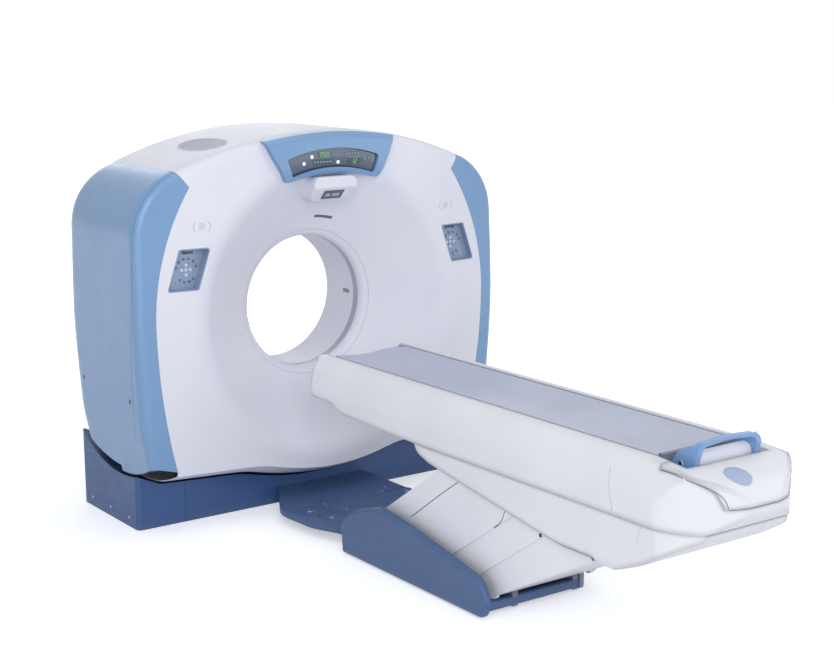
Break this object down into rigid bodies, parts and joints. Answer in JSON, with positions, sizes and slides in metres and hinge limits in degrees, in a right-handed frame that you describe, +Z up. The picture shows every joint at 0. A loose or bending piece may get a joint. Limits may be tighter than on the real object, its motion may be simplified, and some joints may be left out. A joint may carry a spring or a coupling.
{
  "type": "ct scanner",
  "caption": "Medical imaging scanner: a tilting ring-shaped gantry with a rotating X-ray unit on a floor base, and a patient couch with a sliding cradle on a folding lift.",
  "frame": {"origin": "on the floor under the isocentre, at the underside of the gantry base", "axes": "+X right as seen from the table, +Y along the bore from the table to the back of the gantry, +Z up"},
  "size_m": [2.1948, 3.8695, 1.9899],
  "materials": {
    "white_shell": "satin, lilac-white",
    "blue_cover": "satin light blue",
    "base_plastic": "satin dark blue",
    "foot_plastic": "satin slate blue",
    "pedal": "matte ribbed",
    "leg_shell": "satin off-white",
    "dark_window": "smooth dark",
    "keypad": "membrane",
    "handle": "satin blue",
    "cradle": "carbon laminate, lilac grey coat",
    "dark_trim": "matte dark",
    "frame_steel": "painted weldment",
    "bright_steel": "ground",
    "drive_unit": "painted",
    "imaging_unit": "painted",
    "slip_ring": "turned"
  },
  "bodies": {
    "floor_unit": {"gantry_base_cover": "base_plastic", "base_end_left": "base_plastic", "base_end_right": "base_plastic", "gantry_base_frame": "frame_steel", "tilt_posts": "frame_steel", "trunnion_bearings": "bright_steel", "tilt_gearbox": "drive_unit", "foot_skirt_left": "foot_plastic", "foot_skirt_right": "foot_plastic", "rear_crossbar": "foot_plastic", "crossbar_cap": "dark_trim", "pedal_housing": "foot_plastic", "table_base_frame": "frame_steel", "base_pivot_shafts": "bright_steel", "lift_drive": "drive_unit"},
    "tilting_gantry": {"tilt_frame": "frame_steel", "cover_posts": "frame_steel", "bearing_outer_race": "bright_steel", "drive_stator": "drive_unit", "brush_block": "drive_unit", "front_cover": "white_shell", "rear_cover": "white_shell", "top_cover": "white_shell", "belly_cover": "white_shell", "side_cover_left": "blue_cover", "side_cover_right": "blue_cover", "display_housing": "blue_cover", "display_panel": "dark_window", "sensor_pod": "white_shell", "sensor_windows": "dark_window", "keypads": "keypad", "bore_seal_ring": "dark_window", "bore_liner": "white_shell"},
    "rotor": {"rotor_disc": "frame_steel", "bearing_inner_race": "bright_steel", "slip_ring": "slip_ring", "xray_tube": "imaging_unit", "collimator": "imaging_unit", "detector": "imaging_unit", "tube_cooler": "drive_unit", "generator": "drive_unit"},
    "front_lift_arm": {"lift_arm_front": "frame_steel", "leg_shell_front": "leg_shell"},
    "rear_lift_arm": {"lift_arm_rear": "frame_steel"},
    "middle_leg_shell": {"leg_shell_middle": "leg_shell"},
    "rear_leg_shell": {"leg_shell_rear": "leg_shell"},
    "table_top": {"table_frame": "frame_steel", "guide_rails": "bright_steel", "cradle_drive": "drive_unit", "upper_casing": "white_shell", "lower_casing": "white_shell", "tail_cover": "white_shell", "handle_mount": "white_shell"},
    "patient_cradle": {"cradle": "cradle", "cradle_end_bar": "dark_trim"},
    "release_bail": {"release_handle": "handle"},
    "left_pedal_1": {"pedal_left_1": "pedal"},
    "left_pedal_2": {"pedal_left_2": "pedal"},
    "right_pedal_1": {"pedal_right_1": "pedal"},
    "right_pedal_2": {"pedal_right_2": "pedal"}
  },
  "joints": [
    {"name": "gantry_tilt", "type": "hinge", "parent": "floor_unit", "child": "tilting_gantry", "pos_m": [0, 0, 1.073], "axis": [-1, 0, 0], "range_deg": [-30, 30]},
    {"name": "rotor_spin", "type": "hinge", "parent": "tilting_gantry", "child": "rotor", "pos_m": [0, 0, 1.073], "axis": [0, 1, 0], "continuous": true},
    {"name": "table_lift", "type": "hinge", "parent": "floor_unit", "child": "front_lift_arm", "pos_m": [0, -1.445, 0.13], "axis": [-1, 0, 0], "range_deg": [-19, 5]},
    {"name": "rear_arm_turn", "type": "hinge", "parent": "floor_unit", "child": "rear_lift_arm", "pos_m": [0, -1.981, 0.13], "axis": [-1, 0, 0], "range_deg": [-19, 5]},
    {"name": "middle_shell_turn", "type": "hinge", "parent": "floor_unit", "child": "middle_leg_shell", "pos_m": [0, -1.883, 0.13], "axis": [-1, 0, 0], "range_deg": [-19, 5]},
    {"name": "rear_shell_turn", "type": "hinge", "parent": "floor_unit", "child": "rear_leg_shell", "pos_m": [0, -2.125, 0.085], "axis": [-1, 0, 0], "range_deg": [-19, 5]},
    {"name": "table_level", "type": "hinge", "parent": "front_lift_arm", "child": "table_top", "pos_m": [0, -2.19113, 0.63327], "axis": [-1, 0, 0], "range_deg": [-5, 19]},
    {"name": "cradle_travel", "type": "slide", "parent": "table_top", "child": "patient_cradle", "axis": [0, 1, 0], "range_m": [0, 1.6]},
    {"name": "release_handle_lift", "type": "hinge", "parent": "table_top", "child": "release_bail", "pos_m": [0, -3.128, 0.886], "axis": [-1, 0, 0], "range_deg": [0, 15]},
    {"name": "left_pedal_1_press", "type": "hinge", "parent": "floor_unit", "child": "left_pedal_1", "pos_m": [-0.232, -0.655, 0.074], "axis": [0, -1, 0], "range_deg": [0, 7], "stiffness_Nm_per_rad": 60, "springref_deg": -2.01},
    {"name": "left_pedal_2_press", "type": "hinge", "parent": "floor_unit", "child": "left_pedal_2", "pos_m": [-0.196, -0.808, 0.074], "axis": [0, -1, 0], "range_deg": [0, 7], "stiffness_Nm_per_rad": 60, "springref_deg": -2.01},
    {"name": "right_pedal_1_press", "type": "hinge", "parent": "floor_unit", "child": "right_pedal_1", "pos_m": [0.232, -0.655, 0.074], "axis": [0, 1, 0], "range_deg": [0, 7], "stiffness_Nm_per_rad": 60, "springref_deg": -2.01},
    {"name": "right_pedal_2_press", "type": "hinge", "parent": "floor_unit", "child": "right_pedal_2", "pos_m": [0.196, -0.808, 0.074], "axis": [0, 1, 0], "range_deg": [0, 7], "stiffness_Nm_per_rad": 60, "springref_deg": -2.01}
  ],
  "couplings": [
    {"joint": "rear_arm_turn", "follows": "table_lift", "ratio": 1},
    {"joint": "middle_shell_turn", "follows": "table_lift", "ratio": 1},
    {"joint": "rear_shell_turn", "follows": "table_lift", "ratio": 1},
    {"joint": "table_level", "follows": "table_lift", "ratio": -1}
  ]
}
